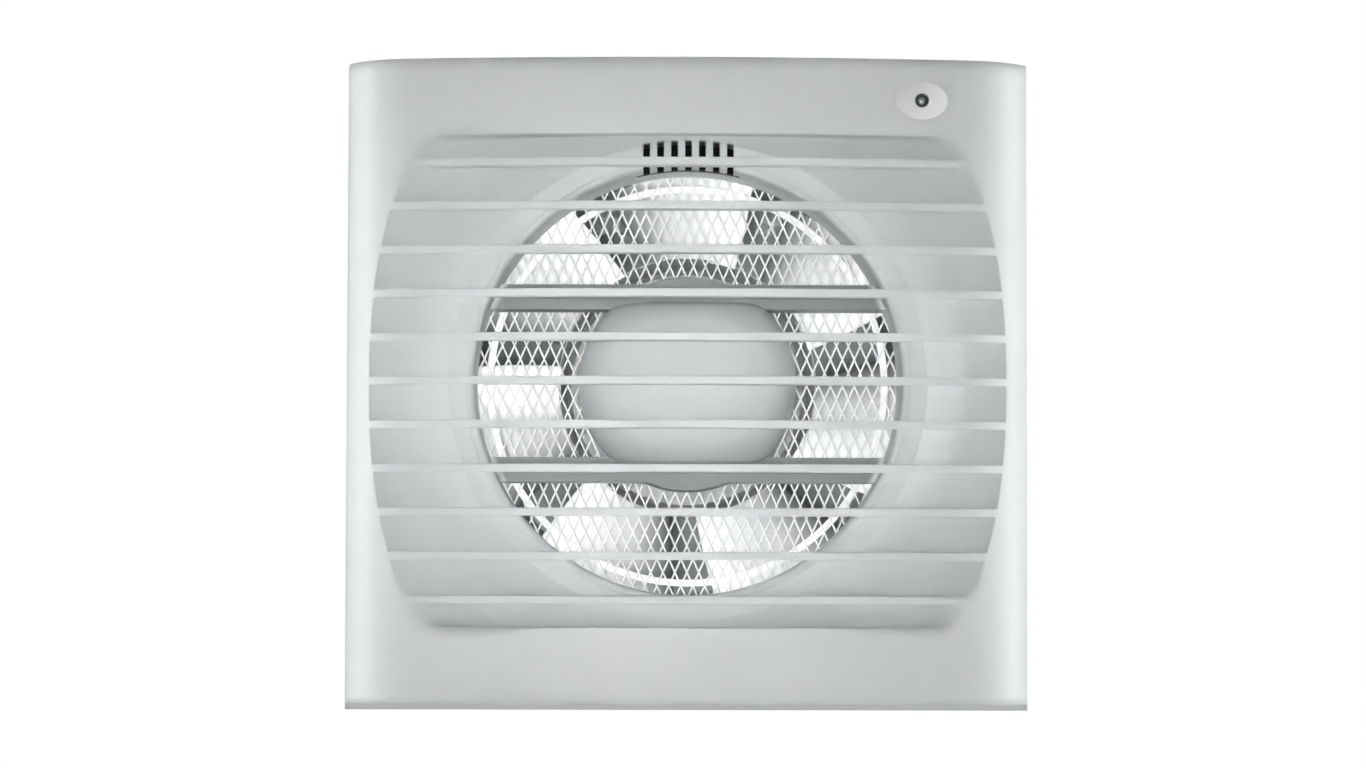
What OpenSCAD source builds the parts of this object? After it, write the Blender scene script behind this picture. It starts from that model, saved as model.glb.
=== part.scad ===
// Bathroom extractor fan with a louvred front cover, for a round wall duct.
// X runs to the right, Z up, and the front looks along -Y. The wall is the plane y = 0, and the
// duct's axis is the Y axis, so lengths along it are negative in the room and positive in the wall.

/* [Front cover] */
// Width of the cover at the wall
cover_w = 150; // [148:0.5:158]
// Height of the cover at the wall
cover_h = 141.5; // [140:0.5:150]
// Distance from the wall to the crown of the face
cover_depth = 36; // [35.5:0.25:38]
// How far each side leans in between the wall and the edge of the face
side_lean = 2; // [1:0.25:2.5]
// Thickness of the cover's walls
cover_wall = 2; // [1.6:0.1:2.4]
// Radius of the gently curved middle of the face
crown_r = 400; // [380:10:600]
// Width of the rounded shoulder on each side of it
shoulder_w = 13; // [12:0.25:14]
// Radius of the shoulders
shoulder_r = 17.5; // [17:0.25:20]
// Distance from the right edge of the face to the lamp
lamp_side = 23.3; // [18:0.1:40]
// Distance from the top edge of the face to the lamp
lamp_top = 8.8; // [8:0.1:9.4]

/* [Louvre] */
// Distance from each side of the face to the sunk field behind the slats
field_side = 4.5; // [4:0.25:6]
// Distance from the top and the bottom of the face to that field
field_end = 16.3; // [15.5:0.1:17.5]
// Radius of its bowed sides
field_side_r = 240; // [200:10:300]
// Radius of its corners
field_corner_r = 14; // [10:1:18]
// Number of slats
slat_count = 11; // [9:2:11]
// Room above the first slat and below the last, as a share of the distance from slat to slat
slat_room = 0.63; // [0.55:0.01:0.75]
// Thickness of a slat
slat_t = 1.7; // [1.4:0.1:2]
// Depth of a slat behind the face
slat_depth = 5; // [4:0.25:6]

/* [Inlet ring] */
// Width of the rolled lip round the inlet
lip_w = 2.2; // [1.8:0.1:2.6]
// Width of the groove outside the lip
groove_w = 3.2; // [2.6:0.1:3.6]
// Depth of the groove
groove_fall = 0.35; // [0.25:0.05:0.5]
// How far the ring's crest lies behind the crown of the face
crest_set = 3.8; // [3.2:0.1:4.5]
// Width of the cone that falls away outside the crest
cone_w = 13; // [12:0.25:14]
// How far the cone falls
cone_fall = 6.4; // [5.8:0.1:6.8]
// Rise of the field outside the cone, for each mm outwards
bowl_slope = 0.5; // [0.44:0.01:0.54]
// Radius of the valley between the cone and the rest of the field
valley_r = 13; // [10:0.5:14]
// Number of vent slots above the inlet
slot_count = 7; // [5:2:9]
// Distance from slot to slot
slot_pitch = 2.98; // [2.6:0.02:3.2]
// Width of a vent slot
slot_w = 1.4; // [1:0.1:1.6]

/* [Casing and spigot] */
// Outside diameter of the spigot that enters the duct
spigot_d = 98; // [97:0.25:98.5]
// Length of the spigot behind the wall
spigot_len = 46; // [44:0.5:52]
// Thickness of the spigot's wall
spigot_wall = 1.6; // [1.4:0.1:2]
// Thickness of the back plate
plate_t = 2.4; // [2:0.1:3]
// Distance from each side of the cover to the wall screws
screw_inset_x = 13; // [12:0.5:15]
// Distance from the top and the bottom of the cover to the wall screws
screw_inset_z = 15.5; // [14.5:0.5:17.5]
// Diameter of the wall screws' holes
screw_hole_d = 4.5; // [4:0.1:5]

/* [Motor bracket] */
// Outside diameter of the motor cup
cup_d = 46; // [45.5:0.1:47]
// Wall of the cup
cup_wall = 1.8; // [1.6:0.05:2]
// Height of each cross bar
bar_h = 5.4; // [5:0.1:6]
// Distance from the crown of the face back to the front of the bars
bar_set = 15; // [14.5:0.1:15.5]
// Depth of the bars
bar_depth = 9.8; // [9:0.1:10]
// How far the domed motor cover stops short of the middle of the bars
dome_gap = 1.1; // [0.9:0.1:2]
// Depth of the motor cover in front of the bars
dome_depth = 7; // [6.5:0.1:7.6]

/* [Motor] */
// Diameter of the shaft
shaft_d = 4; // [3.5:0.1:4.5]
// Outside diameter of the bearings
bearing_d = 8; // [7.5:0.1:8.5]
// Length of the stator's and the rotor's iron
stack_len = 9; // [8:0.1:9.2]
// Diameter of the rotor
rotor_d = 20; // [19:0.1:20.5]
// How far the windings stand out of the iron at each end
coil_reach = 2.6; // [2:0.1:2.7]

/* [Impeller] */
// Number of blades
blade_count = 7; // [5:1:9]
// Diameter of the hub
hub_d = 56.5; // [55:0.5:60]
// Wall of the hub
hub_wall = 1.6; // [1.4:0.1:2]
// Length of the blades along the axis
blade_len = 16; // [14:0.25:17]
// Turn of each blade from front to back, in degrees
blade_turn = 41; // [36:1:46]
// Thickness of a blade
blade_t = 1.2; // [1:0.1:1.6]
// Angle of the first blade's front edge from the top, clockwise from the front
blade_start = 22; // [0:1:51]

/* [Insect net] */
// Width of one gap in the net, with its strand
mesh_w = 4.5; // [4.2:0.1:5]
// Height of one gap in the net, with its strand
mesh_h = 9.6; // [9.2:0.1:10.4]
// Width of a strand
strand_w = 0.7; // [0.6:0.05:0.9]
// Thickness of the net
net_t = 0.8; // [0.6:0.05:1]

/* [Backdraught damper] */
// Depth of the damper's seat ring
seat_depth = 8; // [7.5:0.25:9]
// Width of the ring that the flap closes on
seat_w = 2.2; // [2:0.1:2.4]
// Thickness of the flap
flap_t = 1; // [0.8:0.1:1.2]
// Diameter of the flap's pin
pin_d = 2; // [1.8:0.1:2.2]
// Diameter of the flap's hinge eyes
eye_d = 4.4; // [4:0.1:4.6]
// Length of each hinge eye
eye_len = 7; // [5:0.5:8]

/* [Fits] */
// Gap between mouldings that slip together
slip = 0.2; // [0.15:0.05:0.3]
// Gap on the radius between the shaft and its bearings
running = 0.03; // [0.02:0.01:0.05]
// Gap between the blade tips and the duct
tip_gap = 0.6; // [0.5:0.1:1.4]

/* [Hidden] */
$fn = 96;
far = 400;

// Face of the cover, seen from above.
face_half_w = cover_w / 2 - side_lean;
face_half_h = cover_h / 2 - side_lean;
crown_half = face_half_w - shoulder_w;
crown_c = [0, crown_r - cover_depth];
crown_edge = [crown_half, crown_c.y - sqrt(crown_r * crown_r - crown_half * crown_half)];
shoulder_c = crown_c + (crown_edge - crown_c) * (crown_r - shoulder_r) / crown_r;
edge_y = shoulder_c.y - sqrt(pow(shoulder_r, 2) - pow(face_half_w - shoulder_c.x, 2));

// Louvre.
field_w = 2 * (face_half_w - field_side);
field_h = 2 * (face_half_h - field_end);
slat_pitch = field_h / (slat_count - 1 + 2 * slat_room);

// Radii from the duct's axis outwards.
spigot_r = spigot_d / 2;
neck_r = spigot_r + 1.2;
duct_r = spigot_r - spigot_wall;
throat_r = duct_r + 0.4;
collar_r = throat_r - slip;
collar_wall = 2;
inlet_r = collar_r - collar_wall;
lip_r = inlet_r + lip_w;
crest_r = lip_r + groove_w;
foot_r = crest_r + cone_w;
rim_r = 100;

// Stations along the axis, from the front to the back.
crest_y = -cover_depth + crest_set;
lip_rise = 0.25;
lip_y = crest_y + groove_fall + lip_w / 2 - lip_rise;
foot_y = crest_y + cone_fall;
rim_y = foot_y - bowl_slope * (rim_r - foot_r);
bar_y = -cover_depth + bar_set;
net_y = bar_y + bar_depth;
step_y = net_y + net_t;
throat_y = bar_y + 1;
blade_y = step_y + 2.6;
cup_back = -2;
cup_front_t = 1.8;
end_plate_t = 2;

// Motor bracket and motor.
cup_r = cup_d / 2;
cavity_r = cup_r - cup_wall;
bar_z = 2 * slat_pitch;
dome_h = 2 * (bar_z - dome_gap);
dome_round = 6;
dome_bow = 26;
dome_wall = 1.6;
peg_x = 13;
peg_r = 1;
ear_post_r = 4;
ear_r = neck_r + ear_post_r + 0.3;
ear_t = 1.6;
ear_turn = 40;
ear_screw_d = 2.4;
ear_screw_len = 9;
strip_y = throat_y - ear_t - 4;
strip_half = slot_count / 2 * slot_pitch + 0.6;
stator_r = cavity_r - slip;
rotor_r = rotor_d / 2;
stack_y = (bar_y + cup_front_t + cup_back - end_plate_t - stack_len) / 2;
ring_len = 1.2;
shaft_r = shaft_d / 2;
bearing_r = bearing_d / 2;
bearing_len = 5;
boss_r = bearing_r + 1.6;
front_bearing_y = stack_y - ring_len - 1 - bearing_len;
rear_bearing_y = stack_y + stack_len + ring_len + 0.8;
impeller_y = rear_bearing_y + bearing_len + 0.6;
pole_count = 4;
motor_screw_r = cavity_r - 2.6;
motor_screw_d = 2.5;

// Impeller.
hub_r = hub_d / 2;
tip_r = duct_r - tip_gap;
hub_back = blade_y + blade_len + 1;
rim_taper = 6;
nut_h = 3;
shaft_end = hub_back + nut_h + 1;

// Damper.
seat_y = spigot_len - seat_depth;
seat_r = duct_r - slip;
seat_in_r = seat_r - seat_w;
pin_z = seat_in_r - eye_d - 0.2;
pin_y = spigot_len - eye_d / 2 - 0.1;
pin_half = sqrt(pow(seat_r - 0.4, 2) - pow(pin_z + pin_d / 2, 2));
flap_y = spigot_len + 0.3;
flap_r = seat_r - 0.4;

// Inside the cover.
lamp_x = face_half_w - lamp_side;
lamp_z = face_half_h - lamp_top;
lamp_d = 3;
lamp_face_y = crown_c.y - sqrt(crown_r * crown_r - lamp_x * lamp_x);
lamp_y = lamp_face_y + 0.2;
board_y = lamp_y + 8;
board = [17, 1.6, 8];
board_post = 6;
frame_half = [cover_w / 2 - cover_wall - 4, cover_h / 2 - cover_wall - 2];
frame_wall = 1.5;
frame_depth = 9;
room = frame_half.x - frame_wall - spigot_r;
block = [0.65 * room, 13, 24];
block_x = -(spigot_r + room - block.x / 2 - 0.5);
terminal_pitch = block.z / 3;
terminal_r = 2;
terminal_screw_len = 4.6;
gland_z = -27;
gland_d = 9;
gland_lip = 1.5;
gland_x = -(frame_half.x - frame_wall - gland_d / 2 - gland_lip - 0.5);
clamp_z = gland_z + 8;
clamp_x = block.x / 2 - 1.2;
lead_d = 1.3;
tab_z = 0.52 * face_half_h;
tab_t = 1.6;
flange_w = 3;
flange_t = 1.6;

module along_axis() rotate([-90, 0, 0]) children();
module from_y(y) translate([0, y, 0]) along_axis() children();

// A ring about the axis, from one station to another.
module tube_y(outer, inner, from, to) from_y(from) linear_extrude(to - from)
    difference() {
        circle(outer);
        circle(inner);
    }

module rod_y(r, from, to) from_y(from) cylinder(r = r, h = to - from);

module plate_2d(size, corner) {
    square([size.x - 2 * corner, size.y], center = true);
    square([size.x, size.y - 2 * corner], center = true);
    for (i = [-1, 1], j = [-1, 1])
        translate([i * (size.x / 2 - corner), j * (size.y / 2 - corner)]) circle(corner);
}

// A round rod swept along a path.
function unit(v) = v / norm(v);
function heading(p, i) = unit(p[min(i + 1, len(p) - 1)] - p[max(i - 1, 0)]);
function sides_along(p, hint, i = 0) = i == len(p) ? [] :
    let (t = heading(p, i), s = unit(hint - t * (hint * t))) concat([s], sides_along(p, s, i + 1));
module swept(path, d, hint, n = 8) {
    side = sides_along(path, hint);
    last = len(path) - 1;
    points = [for (i = [0 : last]) let (t = heading(path, i), u = side[i], v = cross(t, u))
        for (k = [0 : n - 1]) path[i] + d / 2 * (cos(360 * k / n) * u + sin(360 * k / n) * v)];
    walls = [for (i = [0 : last - 1], k = [0 : n - 1])
        let (a = i * n + k, b = i * n + (k + 1) % n) each [[a, a + n, b], [b, a + n, b + n]]];
    ends = [[for (k = [0 : n - 1]) k], [for (k = [n - 1 : -1 : 0]) last * n + k]];
    polyhedron(points, concat(walls, ends), convexity = 6);
}

// Cover: what lies behind its face, with every wall moved in by the inset.
module face_2d(inset, back) intersection() {
    union() {
        intersection() {
            translate(crown_c) circle(crown_r - inset, $fn = 720);
            translate([0, -cover_depth / 2]) square([2 * crown_half, 2 * cover_depth], center = true);
        }
        for (s = [-1, 1]) translate([s * shoulder_c.x, shoulder_c.y]) circle(shoulder_r - inset);
        translate([0, (back + shoulder_c.y) / 2])
            square([2 * (shoulder_c.x + shoulder_r - inset), back - shoulder_c.y], center = true);
    }
    lean_2d(face_half_w - inset, back);
}

// The leaning sides, seen from above or from the side.
module lean_2d(half, back) {
    foot = half + side_lean * (back - edge_y) / -edge_y;
    polygon([[-half, -far], [half, -far], [half, edge_y], [foot, back], [-foot, back], [-half, edge_y]]);
}

module cover_block(inset, back) intersection() {
    linear_extrude(far, center = true) face_2d(inset, back);
    rotate([90, 0, 90]) linear_extrude(far, center = true)
        rotate(-90) lean_2d(face_half_h - inset, back);
}

// Outline of the sunk field: bowed sides, flat top and bottom, round corners.
module field_2d(grow) {
    half = [field_w / 2, field_h / 2];
    bow_x = field_side_r - half.x;
    corner = [sqrt(pow(field_side_r - field_corner_r, 2) - pow(half.y - field_corner_r, 2)) - bow_x,
        half.y - field_corner_r];
    meet_z = field_side_r * corner.y / (field_side_r - field_corner_r);
    intersection() {
        translate([-bow_x, 0]) circle(field_side_r + grow, $fn = 720);
        translate([bow_x, 0]) circle(field_side_r + grow, $fn = 720);
        square([far, 2 * meet_z], center = true);
    }
    square([2 * corner.x, 2 * (half.y + grow)], center = true);
    for (i = [-1, 1], j = [-1, 1])
        translate([i * corner.x, j * corner.y]) circle(field_corner_r + grow);
}

// Everything in front of the sunk field's floor, moved back by a distance.
module field_air(back) rotate([90, 0, 0]) rotate_extrude() translate([0, -back]) {
    rise = atan(bowl_slope);
    fall = atan(cone_fall / cone_w);
    steps = 8;
    reach = valley_r * tan((rise + fall) / 2);
    middle = [foot_r + reach * cos(rise) - valley_r * sin(rise),
        -foot_y + reach * sin(rise) + valley_r * cos(rise)];
    valley = [for (i = [0 : steps]) let (a = rise - (rise + fall) * i / steps)
        middle + valley_r * [sin(a), -cos(a)]];
    polygon(concat([[0, far], [rim_r, far], [rim_r, -rim_y]], valley,
        [[crest_r, -crest_y], [lip_r - 0.5, -crest_y - groove_fall], [lip_r - 0.5, -lip_y], [0, -lip_y]]));
}

module field_block(grow, back) intersection() {
    rotate([90, 0, 0]) linear_extrude(far, center = true) field_2d(grow);
    field_air(back);
}

module slats() intersection() {
    for (k = [-(slat_count - 1) / 2 : (slat_count - 1) / 2]) translate([0, 0, k * slat_pitch])
        linear_extrude(slat_t, center = true) difference() {
            face_2d(0, 0);
            translate([0, slat_depth]) face_2d(0, 0);
            for (s = [-1, 1]) translate([s * far / 2 + s * (field_w / 2 + 0.5), 0])
                square(far, center = true);
        }
    field_block(0.5, 0.5);
}

module lip() rotate([90, 0, 0]) rotate_extrude()
    translate([inlet_r + lip_w / 2, -lip_y]) circle(lip_w / 2);

module vent_slots() for (k = [-(slot_count - 1) / 2 : (slot_count - 1) / 2])
    intersection() {
        translate([k * slot_pitch - slot_w / 2, crest_y - 7, inlet_r - 8]) cube([slot_w, 18, 20]);
        rod_y(crest_r + 0.4, crest_y - 7, throat_y);
    }

// The part of a ring that lies behind the vent slots.
module vent_sector(inner, grow) intersection() {
    tube_y(crest_r + grow, inner, strip_y, throat_y - ear_t);
    translate([-strip_half - grow, -far / 2, 0]) cube([2 * (strip_half + grow), far, far]);
}

// Dark foam strip that lies on the bracket's ring behind the vent slots.
module vent_strip() color("black") vent_sector(inlet_r + 0.2, 0);

// Oval hollow round the lamp: the outside of a fat ring, pressed into the face along its slope there.
module lamp_dish() {
    across = 12.3;
    upright = 6.4;
    sink = across - 1.2;
    slope = asin(lamp_x / crown_r);
    middle = [lamp_x + sink * sin(slope), lamp_face_y - sink * cos(slope), lamp_z];
    translate(middle) rotate_extrude() intersection() {
        translate([across - upright, 0]) circle(upright);
        translate([0, -upright]) square([across, 2 * upright]);
    }
}

// Ribs inside the side walls that snap behind the casing's tabs.
module cover_ribs() intersection() {
    for (s = [-1, 1], j = [-1, 1])
        translate([s * (face_half_w + side_lean), -5.5, j * tab_z]) cube([8, 2, 10], center = true);
    cover_block(cover_wall - 0.5, 0);
}

module lamp_posts() for (s = [-1, 1]) {
    rod = [lamp_x + s * board_post, 0, lamp_z];
    intersection() {
        translate(rod) rod_y(1.8, -cover_depth, board_y);
        cover_block(cover_wall / 2, 0);
    }
    translate(rod) rod_y(0.8, board_y - 1, board_y + 2);
}

module front_cover() color("whitesmoke") difference() {
    union() {
        difference() {
            union() {
                difference() {
                    cover_block(0, -slip);
                    cover_block(cover_wall, 1);
                }
                intersection() {
                    cover_block(0, -slip);
                    field_block(cover_wall, cover_wall);
                }
            }
            field_block(0, 0);
        }
        slats();
        lip();
        tube_y(collar_r, inlet_r, lip_y, throat_y - ear_t - slip);
        cover_ribs();
        lamp_posts();
    }
    difference() {
        rod_y(inlet_r, crest_y - 1, 10);
        slats();
    }
    difference() {
        vent_slots();
        slats();
    }
    vent_sector(inlet_r - 1, slip);
    lamp_dish();
    translate([lamp_x, 0, lamp_z]) rod_y(lamp_d / 2 + 0.1, -far, board_y - 1);
}

module indicator_lamp() color("gainsboro") translate([lamp_x, 0, lamp_z]) {
    intersection() {
        translate([0, lamp_y + lamp_d / 2, 0]) sphere(lamp_d / 2);
        rod_y(lamp_d, -far, lamp_y + lamp_d / 2);
    }
    rod_y(lamp_d / 2, lamp_y + lamp_d / 2, board_y - 2.4);
    rod_y(lamp_d / 2 + 0.4, board_y - 3.4, board_y - 2.4);
    for (s = [-1, 1]) translate([s * 0.635, 0, 0]) rod_y(0.25, board_y - 2.6, board_y + 2.4);
}

module lamp_board() color("seagreen") difference() {
    translate([lamp_x, board_y + board.y / 2, lamp_z]) cube(board, center = true);
    for (s = [-1, 1]) {
        translate([lamp_x + s * board_post, 0, lamp_z]) rod_y(0.9, board_y - 1, board_y + 2);
        translate([lamp_x + s * 0.635, 0, lamp_z]) rod_y(0.35, board_y - 1, board_y + 2);
    }
}

// Where the bracket's ears are screwed to the casing.
module ear_places() rotate([0, ear_turn, 0]) for (s = [-1, 1]) translate([s * ear_r, 0, 0]) children();

module wall_screw_places() for (i = [-1, 1], j = [-1, 1])
    translate([i * (cover_w / 2 - screw_inset_x), 0, j * (cover_h / 2 - screw_inset_z)]) children();

// Tabs on the back plate that the cover's ribs snap behind.
module cover_tabs() for (s = [-1, 1], j = [-1, 1]) translate([0, 0, j * tab_z]) {
    translate([s * (face_half_w - cover_wall - tab_t), -5, 0]) cube([tab_t, 8, 14], center = true);
    translate([s * (face_half_w - cover_wall - tab_t / 2), -8.2, 0]) cube([tab_t, 2, 14], center = true);
}

module lead_notch(from, to) translate([(from + to) / 2, bar_y + 3.2, bar_z + bar_h / 2])
    cube([to - from, 3.4, 3.6], center = true);

module casing() color("white") difference() {
    union() {
        rotate([90, 0, 0]) linear_extrude(plate_t) plate_2d(
            [cover_w - 2 * cover_wall - 1, cover_h - 2 * cover_wall - 1], 2);
        rotate([90, 0, 0]) linear_extrude(frame_depth) difference() {
            plate_2d(2 * frame_half, 4);
            plate_2d(2 * (frame_half - [frame_wall, frame_wall]), 2.5);
        }
        wall_screw_places() rod_y(5, -7, 0);
        ear_places() rod_y(ear_post_r, throat_y, -1);
        cover_tabs();
    }
    rod_y(neck_r + slip, -far, far);
    wall_screw_places() rod_y(screw_hole_d / 2, -far, 1);
    ear_places() rod_y(ear_screw_d / 2 + 0.05, throat_y - 1, -4);
    translate([gland_x, 0, gland_z]) rod_y(gland_d / 2, -far, 1);
    for (s = [-1, 1]) translate([block_x, 0, s * terminal_pitch]) rod_y(1, -6, -0.8);
}

// Throat and spigot in one tube. Its flange lies on the back plate, and the bracket's ears hold it there.
module spigot() color("white") difference() {
    union() {
        rod_y(neck_r, throat_y, 0);
        rod_y(spigot_r, -1, spigot_len - 0.6);
        rod_y(spigot_r - 0.6, -1, spigot_len);
        difference() {
            rod_y(spigot_r + flange_w, -plate_t - flange_t, -plate_t);
            ear_places() rod_y(ear_post_r + slip, -far, far);
        }
    }
    rod_y(throat_r, -far, step_y);
    rod_y(duct_r, -far, far);
    lead_notch(-neck_r - 1, -30);
}

module motor_bracket() color("gainsboro") difference() {
    union() {
        tube_y(collar_r, inlet_r, throat_y - ear_t, net_y);
        difference() {
            rotate([0, ear_turn, 0]) translate([0, throat_y - ear_t / 2, 0])
                cube([2 * ear_r + 9, ear_t, 9], center = true);
            rod_y(inlet_r + 0.5, -far, far);
        }
        intersection() {
            for (s = [-1, 1]) translate([0, bar_y + bar_depth / 2, s * bar_z])
                cube([far, bar_depth, bar_h], center = true);
            rod_y(inlet_r + 0.5, bar_y, net_y);
        }
        rod_y(cup_r, bar_y, cup_back);
        rod_y(boss_r, front_bearing_y - 0.8, bar_y + 1);
    }
    rod_y(cavity_r, bar_y + cup_front_t, 1);
    rod_y(bearing_r, front_bearing_y, 1);
    for (s = [-1, 1]) {
        translate([s * motor_screw_r, 0, 0]) rod_y(motor_screw_d / 2, bar_y + 0.4, 1);
        translate([s * peg_x, 0, 0]) rod_y(peg_r + 0.1, bar_y - 1, bar_y + 4);
    }
    ear_places() rod_y(ear_screw_d / 2 + 0.4, -far, 1);
    lead_notch(-spigot_r - 1, -4);
}

module bracket_screws() color("silver") ear_places() difference() {
    union() {
        rod_y(ear_screw_d + 0.4, throat_y - ear_t - 2, throat_y - ear_t);
        rod_y(ear_screw_d / 2, throat_y - ear_t - 1, throat_y + ear_screw_len);
    }
    translate([0, throat_y - ear_t - 2, 0]) for (a = [0, 90]) rotate([0, a, 0])
        cube([3, 1.6, 0.7], center = true);
}

// Motor cover: round at its ends, bowed above and below, cut to fit between the bars.
module dome_solid(inset) {
    r = cup_r + 0.4 - inset;
    half = dome_h / 2 - inset;
    bow = dome_bow - inset;
    front = bar_y - dome_depth + inset;
    intersection() {
        from_y(front) rotate_extrude() {
            square([r - dome_round, dome_depth]);
            translate([0, dome_round]) square([r, dome_depth]);
            translate([r - dome_round, dome_round]) circle(dome_round);
        }
        rotate([90, 0, 90]) linear_extrude(far, center = true) intersection() {
            translate([front + bow, 0]) circle(bow);
            translate([front - 1, -half]) square([dome_depth - inset + 1, 2 * half]);
        }
    }
}

module motor_cover() color("whitesmoke") {
    difference() {
        dome_solid(0);
        dome_solid(dome_wall);
        rod_y(boss_r + 0.3, front_bearing_y - 1.1, bar_y + 1);
    }
    for (s = [-1, 1]) translate([s * peg_x, 0, 0]) {
        rod_y(peg_r, bar_y - 4, bar_y + 2.4);
        rod_y(2 * peg_r, bar_y - dome_depth + 1.2, bar_y);
    }
}

module bearing(from, len) tube_y(bearing_r, shaft_r + running, from, from + len);
module front_bearing() color("goldenrod") bearing(front_bearing_y, bearing_len);
module rear_bearing() color("goldenrod") bearing(rear_bearing_y, bearing_len);

module stator_core() color("dimgray") from_y(stack_y) linear_extrude(stack_len) difference() {
    union() {
        difference() {
            circle(stator_r);
            circle(stator_r - 4.4);
        }
        intersection() {
            circle(stator_r - 1);
            for (a = [45 : 360 / pole_count : 405]) rotate(a) translate([stator_r / 2, 0])
                square([stator_r, 6], center = true);
        }
        difference() {
            circle(rotor_r + 2.4);
            for (a = [0 : 360 / pole_count : 359]) rotate(a) translate([rotor_r, 0])
                square([12, 3], center = true);
        }
    }
    circle(rotor_r + 0.35);
    for (s = [-1, 1]) translate([s * motor_screw_r, 0]) circle(motor_screw_d / 2 + 0.1);
}

// One winding on each pole.
module stator_coils() color("peru") {
    wide = 10.4;
    inner = rotor_r + 2.7;
    outer = sqrt(pow(stator_r - 4.7, 2) - pow(wide / 2, 2));
    span = stack_len + 2 * coil_reach;
    for (a = [45 : 360 / pole_count : 359]) rotate([0, a, 0])
        translate([(inner + outer) / 2, stack_y + stack_len / 2, 0]) difference() {
            rotate([0, 90, 0]) linear_extrude(outer - inner, center = true) plate_2d([wide, span], 2.2);
            cube([far, stack_len + 0.2, 6.2], center = true);
        }
}

module rotor_core() color("slategray") difference() {
    union() {
        rod_y(rotor_r, stack_y, stack_y + stack_len);
        rod_y(rotor_r - 0.6, stack_y - ring_len, stack_y + stack_len + ring_len);
    }
    rod_y(shaft_r, -far, far);
    tube_y(rotor_r - 4, shaft_r + 2, stack_y - ring_len - 1, stack_y);
    tube_y(rotor_r - 4, shaft_r + 2, stack_y + stack_len, stack_y + stack_len + ring_len + 1);
}

module thrust_washers() color("ivory") {
    tube_y(shaft_r + 1.6, shaft_r + running, stack_y - ring_len - 0.9, stack_y - ring_len - 0.1);
    tube_y(shaft_r + 1.6, shaft_r + running, rear_bearing_y - 0.7, rear_bearing_y - 0.1);
}

module motor_end_plate() color("gainsboro") difference() {
    union() {
        rod_y(cavity_r - slip, cup_back - end_plate_t, cup_back);
        rod_y(boss_r, rear_bearing_y, rear_bearing_y + bearing_len);
    }
    rod_y(bearing_r, -far, far);
    for (s = [-1, 1]) translate([s * motor_screw_r, 0, 0]) rod_y(motor_screw_d / 2 + 0.1, -far, 1);
    for (a = [45 : 90 : 359]) rotate([0, a, 0]) translate([13, 0, 0]) rod_y(2.4, -far, 1);
}

module motor_screws() color("silver") for (s = [-1, 1]) translate([s * motor_screw_r, 0, 0])
    difference() {
        union() {
            rod_y(motor_screw_d / 2, bar_y + 0.6, cup_back + 0.5);
            rod_y(motor_screw_d, cup_back, cup_back + 1.6);
        }
        translate([0, cup_back + 1.6, 0]) for (a = [0, 90]) rotate([0, a, 0])
            cube([2.6, 1.6, 0.6], center = true);
    }

module motor_shaft() color("lightgray") rod_y(shaft_r, front_bearing_y + 0.2, shaft_end);

// Each blade's section at the front: a thin strip from hub to tip that trails towards the tip.
module blade_2d() {
    root = hub_r - hub_wall / 2;
    wide = blade_t / cos(atan(blade_turn * PI / 180 * 38 / blade_len));
    steps = 3;
    edge = [for (i = [0 : steps]) let (r = root + (tip_r - root) * i / steps) [r, -4 * i / steps]];
    polygon(concat([for (p = edge) [p[0] * sin(p[1]) + wide / 2, -p[0] * cos(p[1])]],
        [for (i = [steps : -1 : 0]) let (p = edge[i]) [p[0] * sin(p[1]) - wide / 2, -p[0] * cos(p[1])]]));
}

module impeller() color("white") {
    difference() {
        union() {
            rod_y(hub_r, blade_y, hub_back);
            from_y(blade_y) linear_extrude(blade_len, twist = blade_turn, slices = 12, $fn = 3)
                for (k = [0 : blade_count - 1]) rotate(blade_start + 360 * k / blade_count) blade_2d();
        }
        tube_y(hub_r - hub_wall, shaft_r + 3, blade_y - 1, hub_back - hub_wall);
        from_y(blade_y) cylinder(r1 = hub_r - 0.3, r2 = hub_r - hub_wall, h = rim_taper);
        rod_y(shaft_r + 3.1, blade_y - 1, impeller_y);
        rod_y(shaft_r, -far, far);
    }
}

module impeller_nut() color("silver") difference() {
    from_y(hub_back) cylinder(r = shaft_d, h = nut_h, $fn = 6);
    rod_y(shaft_r, -far, far);
}

module insect_net() color("white") from_y(net_y) linear_extrude(net_t) {
    inner = cup_r + 0.1;
    outer = throat_r - slip;
    rim = 1.1;
    reach = ceil(outer / mesh_w) + 1;
    rows = ceil(2 * outer / mesh_h) + 1;
    difference() {
        circle(outer);
        circle(inner);
        for (j = [-rows : rows], i = [-reach : reach]) {
            at = [(i + (j % 2 == 0 ? 0 : 0.5)) * mesh_w, j * mesh_h / 2];
            if (norm(at) < outer - rim && norm(at) > inner + rim) translate(at)
                polygon([for (a = [0, 90, 180, 270])
                    [cos(a) * (mesh_w / 2 - strand_w * 0.56), sin(a) * (mesh_h / 2 - strand_w * 1.2)]]);
        }
    }
    difference() {
        circle(outer);
        circle(outer - rim);
    }
    difference() {
        circle(inner + rim);
        circle(inner);
    }
}

module damper_ring() color("white") difference() {
    union() {
        tube_y(seat_r, seat_in_r, seat_y, spigot_len);
        intersection() {
            rod_y(seat_r - 0.5, seat_y, seat_y + 2.6);
            translate([0, 0, pin_z - 3 + far / 2]) cube(far, center = true);
        }
    }
    translate([0, pin_y, pin_z]) rotate([0, 90, 0]) cylinder(r = pin_d / 2, h = far, center = true);
}

module damper_pin() color("silver") translate([0, pin_y, pin_z]) rotate([0, 90, 0])
    cylinder(r = pin_d / 2, h = 2 * pin_half, center = true);

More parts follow.
